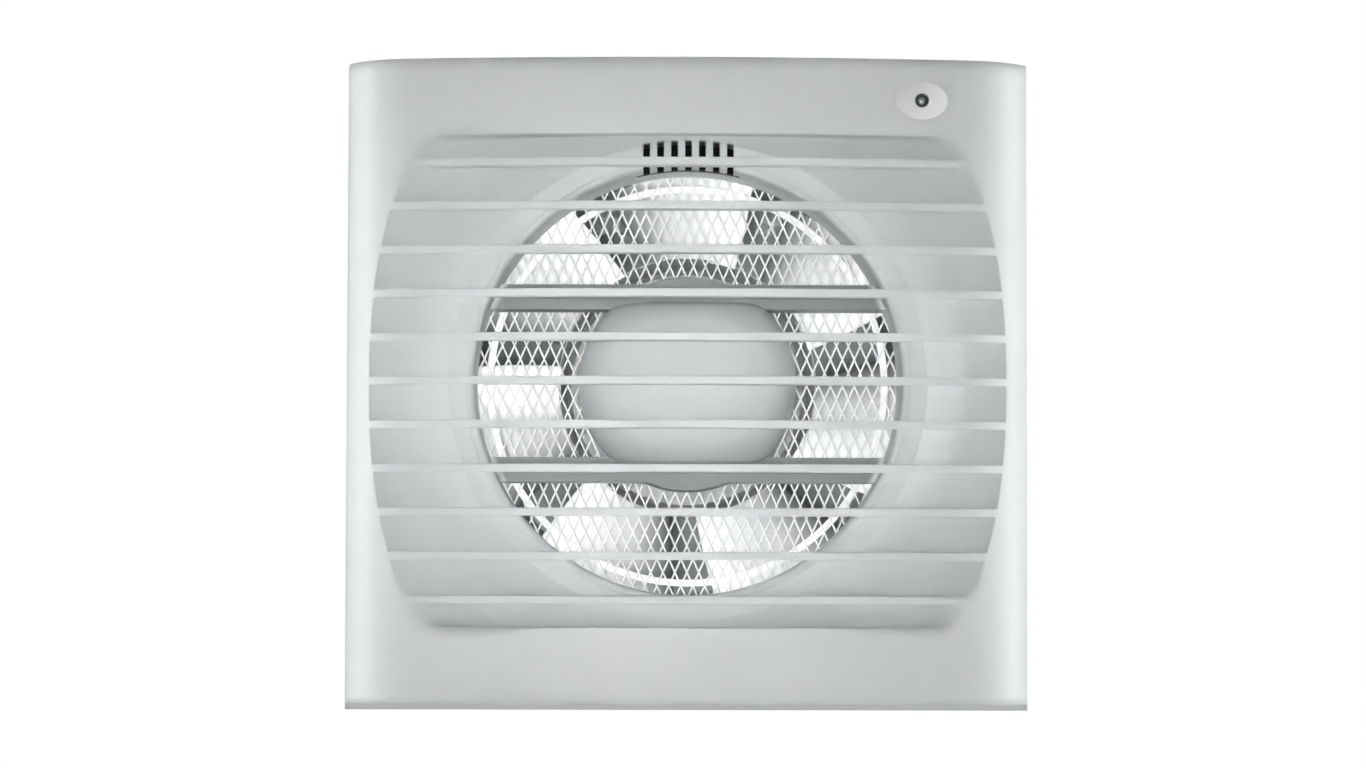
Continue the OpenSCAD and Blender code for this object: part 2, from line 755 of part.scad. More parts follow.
module damper_flap() color("lightgray") {
    difference() {
        union() {
            intersection() {
                rod_y(flap_r, flap_y, flap_y + flap_t);
                translate([0, 0, pin_z - 1 - far / 2]) cube(far, center = true);
            }
            for (s = [-1, 1]) translate([s * (eye_len / 2 + 4), 0, 0]) {
                translate([0, pin_y, pin_z]) rotate([0, 90, 0])
                    cylinder(r = eye_d / 2, h = eye_len, center = true);
                translate([0, (pin_y + flap_y + flap_t) / 2, pin_z - eye_d / 2 - 0.6])
                    cube([eye_len, flap_y + flap_t - pin_y, eye_d - 1.2], center = true);
            }
            for (x = [-24, -8, 8, 24]) translate([x, flap_y + flap_t + 0.5, -5])
                cube([1.2, 1.4, 56], center = true);
        }
        translate([0, pin_y, pin_z]) rotate([0, 90, 0])
            cylinder(r = pin_d / 2 + 0.06, h = far, center = true);
    }
}

module block_at() translate([block_x, -plate_t - block.y / 2, 0]) children();

module terminal_block() color("ivory") difference() {
    union() {
        block_at() cube(block, center = true);
        for (s = [-1, 1]) translate([block_x, 0, s * terminal_pitch]) rod_y(0.9, -plate_t - 1, -1);
    }
    for (k = [-1, 0, 1]) translate([0, 0, k * terminal_pitch]) block_at() {
        rotate([90, 0, 0]) cylinder(r = terminal_r, h = far);
        translate([0, 2.5, 0]) rotate([0, 90, 0]) cylinder(r = 1.5, h = far, center = true);
    }
}

module terminal_screws() color("silver") for (k = [-1, 0, 1]) translate([0, 0, k * terminal_pitch]) block_at()
    difference() {
        rotate([90, 0, 0]) cylinder(r = terminal_r - 0.2, h = terminal_screw_len);
        translate([0, -terminal_screw_len, 0]) cube([far, 1.4, 0.7], center = true);
    }

module cable_grommet() color("dimgray") translate([gland_x, 0, gland_z]) difference() {
    union() {
        rod_y(gland_d / 2 - 0.1, -plate_t - 1.5, -0.2);
        rod_y(gland_d / 2 + gland_lip, -plate_t - 1.8, -plate_t);
    }
    rod_y(2.6, -far, 1);
}

module cord_clamp() color("ivory") translate([block_x, 0, clamp_z]) difference() {
    union() {
        for (s = [-1, 1]) translate([s * clamp_x, -plate_t - 2.5, 0]) cube([2.4, 5, 4], center = true);
        translate([0, -plate_t - 5.8, 0]) cube([2 * clamp_x + 2.4, 1.8, 4], center = true);
    }
    for (s = [-1, 1]) translate([s * clamp_x, 0, 0]) rod_y(0.8, -far, 1);
}

module clamp_screws() color("silver") for (s = [-1, 1]) translate([block_x + s * clamp_x, 0, clamp_z])
    difference() {
        union() {
            rod_y(0.7, -plate_t - 7, -plate_t - 0.3);
            rod_y(1.5, -plate_t - 8, -plate_t - 6.7);
        }
        translate([0, -plate_t - 8, 0]) cube([far, 1, 0.5], center = true);
    }

// Two leads from the motor, along the upper bar, out through the throat and into the terminals.
module motor_leads() color("steelblue") for (s = [-1, 1]) {
    y = bar_y + 3.2 + s * 0.75;
    z = bar_z + bar_h / 2 - 0.95;
    out = -spigot_r - 4;
    top = -plate_t - block.y / 2 + 2.5;
    entry = s < 0 ? terminal_pitch : 0;
    x = (block_x + block.x / 2 - spigot_r) / 2 + s * 0.75;
    swept([[-8, y, z], [out, y, z], [out - 2, y + 0.6, z - 0.6], [x + 1, y + 2, z - 4],
        [x, top - 1, entry + 4], [x - 0.6, top, entry + 1], [x - 2, top, entry],
        [block_x + block.x / 3, top, entry]], lead_d, [0, 0, 1]);
}

/* [Node] */
// The piece to draw, or all of them

front_cover();
indicator_lamp();
lamp_board();
vent_strip();
casing();
spigot();
motor_bracket();
bracket_screws();
motor_cover();
front_bearing();
rear_bearing();
stator_core();
stator_coils();
motor_end_plate();
motor_screws();
insect_net();
terminal_block();
terminal_screws();
motor_leads();
cable_grommet();
cord_clamp();
clamp_screws();
damper_ring();
damper_pin();
damper_flap();
motor_shaft();
rotor_core();
thrust_washers();
impeller();
impeller_nut();
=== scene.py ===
"""Bathroom extractor fan: materials, fine net, impeller, lights and camera over the CAD frame."""

import math

import bmesh
import bpy
from mathutils import Matrix, Vector


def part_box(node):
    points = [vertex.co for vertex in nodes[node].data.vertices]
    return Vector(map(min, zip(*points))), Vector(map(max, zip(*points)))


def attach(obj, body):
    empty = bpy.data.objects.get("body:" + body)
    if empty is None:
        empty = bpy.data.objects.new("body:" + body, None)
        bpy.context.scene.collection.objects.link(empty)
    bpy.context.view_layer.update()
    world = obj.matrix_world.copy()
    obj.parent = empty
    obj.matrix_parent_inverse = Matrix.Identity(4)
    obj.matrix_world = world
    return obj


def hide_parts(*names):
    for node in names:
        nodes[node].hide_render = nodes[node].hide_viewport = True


MM = 0.001

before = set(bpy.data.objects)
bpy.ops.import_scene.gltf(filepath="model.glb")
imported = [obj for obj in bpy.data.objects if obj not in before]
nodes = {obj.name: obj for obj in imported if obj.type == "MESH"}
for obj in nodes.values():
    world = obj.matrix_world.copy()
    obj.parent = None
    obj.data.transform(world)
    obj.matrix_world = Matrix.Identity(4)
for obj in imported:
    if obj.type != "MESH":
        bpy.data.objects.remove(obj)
scene = bpy.context.scene
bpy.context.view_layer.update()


# Materials

# Values of the noise at which a blend of two colours starts and ends
CLOUD_START, CLOUD_END = 0.3, 0.7
# How much glossier and duller than its roughness the grain makes a surface
MOULD_GLOSS, MOULD_DULL = 0.05, 0.06
METAL_GLOSS, METAL_DULL = 0.08, 0.1
# Depth of a metal's grain in mm
METAL_RELIEF = 0.01
# Numbers of a colour mix's sockets, whose names its other kinds of mix have too
MIX_SHARE, MIX_FROM, MIX_TO, MIX_RESULT = 0, 6, 7, 2


def linear(hex_colour):
    """sRGB hex to a linear colour."""
    parts = [int(hex_colour[i : i + 2], 16) / 255 for i in (1, 3, 5)]
    return tuple(c / 12.92 if c < 0.04045 else ((c + 0.055) / 1.055) ** 2.4 for c in parts) + (1.0,)


def add(tree, kind, inputs=None, **settings):
    """Adds one node, with its settings and its inputs, which are values or other nodes' sockets."""
    node = tree.nodes.new(kind)
    for name, value in settings.items():
        setattr(node, name, value)
    for name, value in (inputs or {}).items():
        if isinstance(value, bpy.types.NodeSocket):
            tree.links.new(value, node.inputs[name])
        else:
            node.inputs[name].default_value = value
    return node


def material(name):
    """A material with an empty node tree."""
    made = bpy.data.materials.new(name)
    made.use_nodes = True
    made.node_tree.nodes.clear()
    return made, made.node_tree


def per_mm(size):
    """A texture's scale for a feature of this size in mm."""
    return 1 / (size * MM)


def clouded(tree, place, dark, light, size, detail):
    """Two close colours in soft clouds of a size in mm."""
    clouds = add(tree, "ShaderNodeTexNoise", {"Vector": place, "Scale": per_mm(size), "Detail": detail})
    share = add(
        tree,
        "ShaderNodeMapRange",
        {"Value": clouds.outputs["Fac"], "From Min": CLOUD_START, "From Max": CLOUD_END},
    )
    both = add(
        tree,
        "ShaderNodeMix",
        {MIX_SHARE: share.outputs["Result"], MIX_FROM: linear(dark), MIX_TO: linear(light)},
        data_type="RGBA",
    )
    return both.outputs[MIX_RESULT]


def moulded(name, dark, light, rough, grain=0.35, cloud=22, relief=0.012, edge=0.25, ior=1.53):
    """Moulded plastic, and what else is no metal: faint clouds, fine grain and softly rounded edges, with
    sizes in mm. A mould's grain is too fine to show in the render, so it is drawn coarser."""
    made, tree = material(name)
    place = add(tree, "ShaderNodeTexCoord").outputs["Object"]
    grains = add(tree, "ShaderNodeTexNoise", {"Vector": place, "Scale": per_mm(grain), "Detail": 2.0})
    worn = add(
        tree,
        "ShaderNodeMapRange",
        {"Value": grains.outputs["Fac"], "To Min": rough - MOULD_GLOSS, "To Max": rough + MOULD_DULL},
    )
    edges = add(tree, "ShaderNodeBevel", {"Radius": edge * MM}, samples=6)
    bump = add(
        tree,
        "ShaderNodeBump",
        {
            "Height": grains.outputs["Fac"],
            "Strength": 0.25,
            "Distance": relief * MM,
            "Normal": edges.outputs["Normal"],
        },
    )
    shader = add(
        tree,
        "ShaderNodeBsdfPrincipled",
        {
            "Base Color": clouded(tree, place, dark, light, size=cloud, detail=3.0),
            "Roughness": worn.outputs["Result"],
            "IOR": ior,
            "Normal": bump.outputs["Normal"],
        },
    )
    add(tree, "ShaderNodeOutputMaterial", {"Surface": shader.outputs["BSDF"]})
    return made


def metal(name, dark, light, rough, grain=0.2, stretch=(1, 1, 1), cloud=3):
    """Metal and silvered glass: a tight grain and an uneven polish, with sizes in mm.
    The real grain is too fine to show in the render, so it is drawn coarser."""
    made, tree = material(name)
    place = add(tree, "ShaderNodeTexCoord").outputs["Object"]
    along = add(tree, "ShaderNodeMapping", {"Vector": place, "Scale": stretch}).outputs["Vector"]
    grains = add(tree, "ShaderNodeTexNoise", {"Vector": along, "Scale": per_mm(grain), "Detail": 3.0})
    worn = add(
        tree,
        "ShaderNodeMapRange",
        {"Value": grains.outputs["Fac"], "To Min": rough - METAL_GLOSS, "To Max": rough + METAL_DULL},
    )
    bump = add(
        tree,
        "ShaderNodeBump",
        {"Height": grains.outputs["Fac"], "Strength": 0.2, "Distance": METAL_RELIEF * MM},
    )
    shader = add(
        tree,
        "ShaderNodeBsdfPrincipled",
        {
            "Base Color": clouded(tree, place, dark, light, size=cloud, detail=2.0),
            "Metallic": 1.0,
            "Roughness": worn.outputs["Result"],
            "Normal": bump.outputs["Normal"],
        },
    )
    add(tree, "ShaderNodeOutputMaterial", {"Surface": shader.outputs["BSDF"]})
    return made


# ABS of the front, moulded satin: pale grey-white, its gloss broken by fine grain.
FRONT_EDGE = 0.45
front_abs = moulded("moulded_ABS_satin_front", "#e7ebeb", "#ebefef", 0.45, edge=FRONT_EDGE)
# ABS of the motor's bracket, moulded satin, with the front's soft sheen: its mid grey is painted shade,
# the shadow that the louvre casts on the bars. Its ring is painted pale again further down.
bracket_abs = moulded("moulded_ABS_satin_bracket", "#8f9696", "#969d9d", 0.45)
# ABS of the motor's cover, moulded satin: the front's white, a shade greyer.
pod_abs = moulded("moulded_ABS_satin_motor_cover", "#e4e8e8", "#e9eded", 0.45)
# ABS of the lamp's bezel, moulded satin: whiter and a little glossier than the face round it.
bezel_abs = moulded("moulded_ABS_satin_bezel", "#f8fbfb", "#fbfdfd", 0.4, edge=0.02)
# ABS of the casing, moulded plain: a greyer white, with coarser grain and a dull, broad sheen.
casing_abs = moulded("moulded_ABS_casing", "#c2c5c4", "#cccfce", 0.55, grain=0.5, relief=0.02)

# Polypropylene of the impeller, moulded smooth: whiter and glossier than the ABS. The blades and the hub
# have copies of it that carry painted shade.
impeller_surface = {"rough": 0.3, "grain": 0.6, "relief": 0.008}
impeller_pp = moulded("moulded_polypropylene_impeller", "#f2f3f3", "#fafbfb", **impeller_surface)
# A copy for the blades, painted darker towards their rear edges as shade.
blade_pp = moulded("moulded_polypropylene_blade", "#f2f3f3", "#fafbfb", **impeller_surface)
# A copy for the hub, painted grey as the shade of the motor in front of it, and painted white again
# towards its wall.
hub_pp = moulded("moulded_polypropylene_hub", "#a6acac", "#b0b6b6", **impeller_surface)
# Polyethylene of the net, extruded: soft white threads with a waxy sheen.
net_pe = moulded("extruded_polyethylene_net", "#dcdedd", "#e4e6e5", 0.5, grain=0.3, edge=0.1)
# Polypropylene of the flap, moulded: a dull mid grey that sets off the blades.
flap_pp = moulded("moulded_polypropylene_flap_grey", "#798281", "#838c8b", 0.5, grain=0.5)
# Nylon in its natural colour, moulded: cream, with a waxy sheen.
nylon = moulded("moulded_nylon_natural", "#cfc9b6", "#dcd7c6", 0.5, grain=0.4)
# PVC of the leads, extruded: an even blue with a soft shine.
lead_pvc = moulded("extruded_PVC_lead", "#2a4f86", "#335c98", 0.45, grain=0.3)
# Rubber of the grommet, moulded: near black, with hardly any shine.
rubber = moulded("moulded_rubber_grommet", "#1c1d1d", "#262727", 0.7, grain=0.25)
# Glass laminate of the lamp's board, lacquered: dark green with a clear shine.
board_lacquer = moulded("lacquered_glass_laminate", "#14502c", "#1c6439", 0.35, grain=0.3, cloud=2)
# Polyether foam, cut: black, with open pores and no gloss. Its black is painted shade, put behind the
# slots so that they read as dark holes.
foam = moulded("cut_polyether_foam_black_painted_slot_shade", "#060606", "#101010", 0.95, grain=0.6, relief=0.25, edge=0.1)

# Steel of the screws, zinc plated: a light, slightly cloudy shine.
zinc_steel = metal("zinc_plated_steel_screw", "#a9adad", "#c4c8c7", 0.34)
# Steel of the shaft and the pin, ground: bright, with fine lines.
bright_steel = metal(
    "ground_steel_shaft", "#b6b8b9", "#c8cacb", 0.22, grain=0.12, stretch=(1, 0.08, 1)
)
# Bronze of the bearings, sintered: brown gold, its shine broken by pores.
bronze = metal("sintered_bronze_bearing", "#8a6a3c", "#a27e4a", 0.45, grain=0.15)
# Electrical steel of the cores, stamped: dark grey bands where the sheets lie on each other.
lamination = metal(
    "stamped_electrical_steel", "#55585c", "#6d7074", 0.5, grain=0.25, stretch=(0.05, 2, 0.05)
)
# Copper of the coils, enamelled: red brown, with the lines of wires side by side.
copper = metal(
    "enamelled_copper_winding", "#8a3d1c", "#b05a2c", 0.35, grain=0.3, stretch=(1, 0.1, 1)
)
# Glass of the lamp, half silvered: a pale, soft mirror.
lens = metal("half_silvered_glass_lens", "#b4babc", "#c0c6c8", 0.36, grain=3.0)

finishes = {
    front_abs: ["front_cover"],
    bracket_abs: ["motor_bracket"],
    pod_abs: ["motor_cover"],
    casing_abs: ["casing", "spigot", "motor_end_plate"],
    impeller_pp: ["impeller", "damper_ring"],
    net_pe: ["insect_net"],
    flap_pp: ["damper_flap"],
    nylon: ["terminal_block", "cord_clamp", "thrust_washers"],
    lead_pvc: ["motor_leads"],
    rubber: ["cable_grommet"],
    board_lacquer: ["lamp_board"],
    foam: ["vent_strip"],
    zinc_steel: ["bracket_screws", "motor_screws", "terminal_screws", "clamp_screws", "impeller_nut"],
    bright_steel: ["motor_shaft", "damper_pin"],
    bronze: ["front_bearing", "rear_bearing"],
    lamination: ["stator_core", "rotor_core"],
    copper: ["stator_coils"],
    lens: ["indicator_lamp"],
}
for finish, names in finishes.items():
    for name in names:
        nodes[name].data.materials.clear()
        nodes[name].data.materials.append(finish)


# Corners of the sunk field: half the width and height, in mm, of a squarish oval that measures 1, the
# measures between which the edges soften outside it, and the rounding in mm that they soften to
FIELD_HALF_W, FIELD_HALF_H = 66.0, 53.5
CORNER_NEAR, CORNER_FAR = 1.15, 1.5
CORNER_SOFT = 5.0
CORNER_SAMPLES = 16
# Powers of that oval, sideways and upright
OVAL_ACROSS, OVAL_UPRIGHT = 2.0, 4.0


def run_out_corners(finish, sharp, soft):
    """Widens the rounding of edges, from sharp to soft in mm, where the field's corners run out."""
    tree = finish.node_tree
    place = add(tree, "ShaderNodeTexCoord").outputs["Object"]
    to_share = (1 / (FIELD_HALF_W * MM), 0, 1 / (FIELD_HALF_H * MM))
    share = add(tree, "ShaderNodeVectorMath", {0: place, 1: to_share}, operation="MULTIPLY")
    axes = add(tree, "ShaderNodeSeparateXYZ", {"Vector": share.outputs["Vector"]})
    across = add(tree, "ShaderNodeMath", {0: axes.outputs["X"], 1: OVAL_ACROSS}, operation="POWER")
    upright = add(tree, "ShaderNodeMath", {0: axes.outputs["Z"], 1: OVAL_UPRIGHT}, operation="POWER")
    reach = add(tree, "ShaderNodeMath", {0: across.outputs["Value"], 1: upright.outputs["Value"]})
    radius = add(
        tree,
        "ShaderNodeMapRange",
        {
            "Value": reach.outputs["Value"],
            "From Min": CORNER_NEAR,
            "From Max": CORNER_FAR,
            "To Min": sharp * MM,
            "To Max": soft * MM,
        },
    )
    edges = next(node for node in tree.nodes if node.type == "BEVEL")
    edges.samples = CORNER_SAMPLES
    tree.links.new(radius.outputs["Result"], edges.inputs["Radius"])


def tint(finish, keep, near, far, colour, offset=(0, 0, 0)):
    """Blends a finish to a colour, from near to far in mm, by the length of place * keep + offset."""
    tree = finish.node_tree
    place = add(tree, "ShaderNodeTexCoord").outputs["Object"]
    moved = add(tree, "ShaderNodeVectorMath", {0: place, 1: keep, 2: offset}, operation="MULTIPLY_ADD")
    away = add(tree, "ShaderNodeVectorMath", {0: moved.outputs["Vector"]}, operation="LENGTH")
    share = add(
        tree,
        "ShaderNodeMapRange",
        {"Value": away.outputs["Value"], "From Min": near * MM, "From Max": far * MM},
    )
    shader = next(node for node in tree.nodes if node.type == "BSDF_PRINCIPLED")
    plain = shader.inputs["Base Color"].links[0].from_socket
    both = add(
        tree,
        "ShaderNodeMix",
        {MIX_SHARE: share.outputs["Result"], MIX_FROM: plain, MIX_TO: linear(colour)},
        data_type="RGBA",
    )
    tree.links.new(both.outputs[MIX_RESULT], shader.inputs["Base Color"])


# A tint is measured from the duct's axis, along it, or from the middle of the motor's cover, where the
# length is a share of the way to its outline.
POD_LOW, POD_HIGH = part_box("motor_cover")
POD_R, POD_HALF = POD_HIGH.x / MM, POD_HIGH.z / MM
FROM_AXIS, ALONG_AXIS = (1, 0, 1), (0, 1, 0)
FROM_POD_MIDDLE = (1 / POD_R, 0, 1 / POD_HALF)
# Radii in mm between which the bracket, and then the hub, turns from grey to white
RING_PALE_START, RING_PALE_END = 44.0, 45.0
HUB_PALE_START, HUB_PALE_END = 24.0, 28.0
# Place on the axis that the blades' fade is measured from, and where it starts and ends, in mm
BLADE_FADE_FROM, BLADE_FADE_START, BLADE_FADE_END = -8.0, 7.0, 15.5
# Shares between which the motor's cover turns greyer
POD_FADE_START, POD_FADE_END = 0.78, 1.1

run_out_corners(front_abs, FRONT_EDGE, CORNER_SOFT)

# These blends stand in for shading that the studio's light leaves flat: the bracket's ring is paler than
# its bars, the blades darken to the rear, the hub is paler at its wall and the motor's cover greyer at its
# rim.
blade_fade_offset = (0, -BLADE_FADE_FROM * MM, 0)
tint(bracket_abs, FROM_AXIS, RING_PALE_START, RING_PALE_END, "#f4f6f6")
tint(blade_pp, ALONG_AXIS, BLADE_FADE_START, BLADE_FADE_END, "#808786", blade_fade_offset)
tint(hub_pp, FROM_AXIS, HUB_PALE_START, HUB_PALE_END, "#f2f3f3")
tint(pod_abs, FROM_POD_MIDDLE, POD_FADE_START, POD_FADE_END, "#c0c5c5")


# Pieces

# Distance in mm within which a solid's points are joined before it is shaded
WELD = 0.001


def put(name, data, at=(0, 0, 0)):
    """Puts an object with this data into the scene."""
    made = bpy.data.objects.new(name, data)
    made.location = at
    scene.collection.objects.link(made)
    return made


def mesh_data(name, mesh):
    """Turns a mesh being drawn into a finished one."""
    data = bpy.data.meshes.new(name)
    mesh.to_mesh(data)
    mesh.free()
    return data


def piece(name, mesh, body, finish, slot, *replaced):
    """Puts a mesh, drawn in mm, into the scene on a body, in place of the CAD nodes named last, if any."""
    bmesh.ops.scale(mesh, vec=(MM, MM, MM), verts=mesh.verts)
    bmesh.ops.recalc_face_normals(mesh, faces=mesh.faces)
    made = put(name, mesh_data(name, mesh))
    made.data.materials.append(finish)
    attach(made, body)
    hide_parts(*replaced)
    return made


def smooth(made, angle):
    """Smooth shading, with edges kept sharp past an angle."""
    for face in made.data.polygons:
        face.use_smooth = True
    made.data.set_sharp_from_angle(angle=math.radians(angle))


def blend_creases(made, angle):
    """Shades a CAD solid smoothly across creases of up to an angle, as a polished mould leaves them."""
    weld = made.modifiers.new("weld", "WELD")
    weld.merge_threshold = WELD * MM
    tree = bpy.data.node_groups.new("blend_creases", "GeometryNodeTree")
    for way in ("INPUT", "OUTPUT"):
        tree.interface.new_socket("Geometry", in_out=way, socket_type="NodeSocketGeometry")
    solid = add(tree, "NodeGroupInput").outputs["Geometry"]
    crease = add(tree, "GeometryNodeInputMeshEdgeAngle").outputs["Unsigned Angle"]
    sharp = add(tree, "FunctionNodeCompare", {"A": crease, "B": math.radians(angle)})
    shaded = add(
        tree,
        "GeometryNodeSetMeshNormal",
        {"Mesh": solid, "Remove Custom": True, "Edge Sharpness": sharp.outputs["Result"]},
    )
    add(tree, "NodeGroupOutput", {"Geometry": shaded.outputs["Mesh"]})
    made.modifiers.new("blend_creases", "NODES").node_group = tree


def skin(mesh, rings):
    """Faces from each ring of points to the next."""
    for here, there in zip(rings, rings[1:]):
        count = len(here)
        for k in range(count):
            m = (k + 1) % count
            mesh.faces.new((here[k], here[m], there[m], there[k]))


def lathe(mesh, profile, steps=96):
    """Turns a closed profile of (radius, y) about the duct's axis."""
    rings = []
    for i in range(steps):
        a = 2 * math.pi * i / steps
        rings.append([mesh.verts.new((r * math.sin(a), y, r * math.cos(a))) for r, y in profile])
    skin(mesh, rings + rings[:1])


def tube(mesh, path, radius, sides=6, flat=0.7):
    """A thin strand along a path of points, flattened front to back and closed at both ends."""
    out = Vector((0, 1, 0))
    rings = []
    for i, at in enumerate(path):
        ahead = (path[min(i + 1, len(path) - 1)] - path[max(i - 1, 0)]).normalized()
        side = ahead.cross(out).normalized()
        ring = []
        for k in range(sides):
            a = 2 * math.pi * k / sides
            off = side * math.cos(a) + out * flat * math.sin(a)
            ring.append(mesh.verts.new(at + off * radius))
        rings.append(ring)
    skin(mesh, rings)
    mesh.faces.new(rings[0])
    mesh.faces.new(rings[-1])


# Insect net: two families of crossing strands in the CAD net's flat ring, and a thin hoop on their back.
# Radii, gaps and heights are in mm.
NET_LOW, NET_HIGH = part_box("insect_net")
NET_Y = (NET_LOW.y + NET_HIGH.y) / 2 / MM
NET_INNER, NET_OUTER = 23.1, NET_HIGH.x / MM
NET_MARGIN = 0.2
GAP_W, GAP_H = 2.6, 5.8
STRAND_R = 0.2
# How far a strand stands off at a crossing, and the share of that, to the other side, halfway to the next
WEAVE, WEAVE_BACK = 0.12, -0.2
HOOP_IN, HOOP_OUT = 42.2, 43.7
HOOP_FRONT, HOOP_BACK = 0.1, 0.35
# Strands and rows counted beyond the net's edge, so that none is missed
SPARE_STRANDS, SPARE_ROWS = 3, 2


def insect_net():
    mesh = bmesh.new()
    strands = int(NET_OUTER * (1 / GAP_W + 1 / GAP_H)) + SPARE_STRANDS
    rows = int(NET_OUTER / (GAP_H / 2)) + SPARE_ROWS
    for lean in (-1, 1):
        step = Vector((lean * GAP_W / 2, 0, GAP_H / 2))
        for i in range(-strands, strands + 1):
            run = []
            for j in range(-2 * rows, 2 * rows + 1):
                at = Vector((i * GAP_W, 0, 0)) + step * (j / 2)
                weave = WEAVE * lean * (1 if j % 2 == 0 else WEAVE_BACK)
                inside = NET_INNER < at.length < NET_OUTER - NET_MARGIN
                if inside:
                    run.append(Vector((at.x, NET_Y + weave, at.z)))
                if run and (not inside or j == 2 * rows):
                    if len(run) > 1:
                        tube(mesh, run, STRAND_R)
                    run = []
    front, back = NET_Y + HOOP_FRONT, NET_Y + HOOP_BACK
    lathe(mesh, [(HOOP_IN, front), (HOOP_OUT, front), (HOOP_OUT, back), (HOOP_IN, back)])
    made = piece("net_strands", mesh, "housing", net_pe, "net_white", "insect_net")
    smooth(made, angle=60)
    return made


# Impeller: hub cup and blades with rounded leading edges and thin trailing edges. Lengths are in mm,
# turns in degrees, and the nose and the thinning in shares of the chord.
BLADE_COUNT, BLADE_START = 7, 22.0
BLADE_Y, BLADE_LEN, BLADE_T = -7.8, 16.0, 1.3
BLADE_TURN, BLADE_RAKE = 40.5, 4.0
BLADE_CAMBER = 2.0
BLADE_NOSE = 0.06
BLADE_THIN_FROM, BLADE_THIN_BY = 0.4, 0.55
BLADE_ACROSS, BLADE_CHORDWISE = 8, 18
ROOT_SINK = 0.6
HUB_R, HUB_WALL, HUB_BACK, TIP_R = 28.25, 1.6, 9.2, 46.8
HUB_TAPER, HUB_LIP, HUB_FILLET, HUB_ROUND = 6.0, 0.1, 1.0, 0.4
SHAFT_R = 2.0
BOSS_WALL, BOSS_FRONT, BOSS_FILLET = 3.0, -0.2, 0.6


def blade_point(turn, out, along, off):
    """A point of a blade: share from root to tip, share from front to back, distance off its surface."""
    root = HUB_R - ROOT_SINK
    r = root + (TIP_R - root) * out
    a = math.radians(turn - BLADE_RAKE * out - BLADE_TURN * along)
    y = BLADE_Y + BLADE_LEN * along**BLADE_CAMBER
    at = Vector((r * math.sin(a), y, r * math.cos(a)))
    steep = BLADE_LEN * BLADE_CAMBER * along ** (BLADE_CAMBER - 1) / (math.radians(BLADE_TURN) * r)
    chord = Vector((-math.cos(a), steep, math.sin(a))).normalized()
    radial = Vector((math.sin(a), 0, math.cos(a)))
    return at + chord.cross(radial).normalized() * off


def blade_half(along):
    """Half a blade's thickness at a share of its chord: none at its two edges."""
    if along in (0.0, 1.0):
        return 0.0
    nose = min(1.0, math.sqrt(along / BLADE_NOSE))
    thin = BLADE_THIN_BY * max(0.0, (along - BLADE_THIN_FROM) / (1 - BLADE_THIN_FROM))
    return BLADE_T / 2 * nose * (1 - thin)


def impeller():
    mesh = bmesh.new()
    chord = [j / BLADE_CHORDWISE for j in range(BLADE_CHORDWISE + 1)]
    outline = [(along, 1) for along in chord] + [(along, -1) for along in reversed(chord[1:-1])]
    for k in range(BLADE_COUNT):
        turn = BLADE_START + 360 * k / BLADE_COUNT
        rings = []
        for i in range(BLADE_ACROSS + 1):
            points = [
                blade_point(turn, i / BLADE_ACROSS, along, side * blade_half(along))
                for along, side in outline
            ]
            rings.append([mesh.verts.new(point) for point in points])
        skin(mesh, rings)
        mesh.faces.new(rings[0])
        mesh.faces.new(rings[-1])
    made = piece("impeller_blades", mesh, "rotor", blade_pp, "impeller_white", "impeller")
    smooth(made, angle=40)
    return made


def impeller_hub():
    mesh = bmesh.new()
    boss = SHAFT_R + BOSS_WALL
    bore = HUB_R - HUB_WALL
    floor_y = HUB_BACK - HUB_WALL
    lathe(
        mesh,
        [
            (SHAFT_R, BOSS_FRONT),
            (boss, BOSS_FRONT),
            (boss, floor_y - BOSS_FILLET),
            (boss + BOSS_FILLET, floor_y),
            (bore - HUB_FILLET, floor_y),
            (bore, floor_y - HUB_FILLET),
            (bore, BLADE_Y + HUB_TAPER),
            (HUB_R - 3 * HUB_LIP, BLADE_Y + HUB_LIP),
            (HUB_R - HUB_LIP, BLADE_Y),
            (HUB_R, BLADE_Y + 2 * HUB_LIP),
            (HUB_R, HUB_BACK - 3 * HUB_ROUND),
            (HUB_R - HUB_ROUND, HUB_BACK - HUB_ROUND),
            (HUB_R - 3 * HUB_ROUND, HUB_BACK),
            (SHAFT_R, HUB_BACK),
        ],
    )
    made = piece("impeller_hub", mesh, "rotor", hub_pp, "impeller_white")
    smooth(made, angle=40)
    return made


# Motor cover: a pillow, round at its ends and cut straight above and below, with no edge on its front.
POD_FRONT, POD_DEPTH = POD_LOW.y / MM, 7.0
# Powers of the curves that join the round end to the straight top, and the front to the sides
POD_CORNER, POD_SWELL = 16, 2.6
POD_STEPS, POD_RINGS = 144, 26


def pod_edge(a):
    """Distance from the middle to the pod's outline: the round end and the straight top, blended."""
    end = (1 / POD_R) ** POD_CORNER
    top = (abs(math.sin(a)) / POD_HALF) ** POD_CORNER
    return (end + top) ** (-1 / POD_CORNER)


def motor_pod():
    mesh = bmesh.new()
    middle = mesh.verts.new((0, POD_FRONT, 0))
    rings = []
    for i in range(1, POD_RINGS + 1):
        share = math.sin(math.pi / 2 * i / POD_RINGS)
        y = POD_FRONT + POD_DEPTH * (1 - math.sqrt(1 - share**POD_SWELL))
        ring = []
        for k in range(POD_STEPS):
            a = 2 * math.pi * k / POD_STEPS
            r = pod_edge(a) * share
            ring.append(mesh.verts.new((r * math.cos(a), y, r * math.sin(a))))
        rings.append(ring)
    for k in range(POD_STEPS):
        mesh.faces.new((middle, rings[0][k], rings[0][(k + 1) % POD_STEPS]))
    skin(mesh, rings)
    mesh.faces.new(rings[-1])
    made = piece("motor_cover_pillow", mesh, "housing", pod_abs, "moulded_white", "motor_cover")
    smooth(made, angle=60)


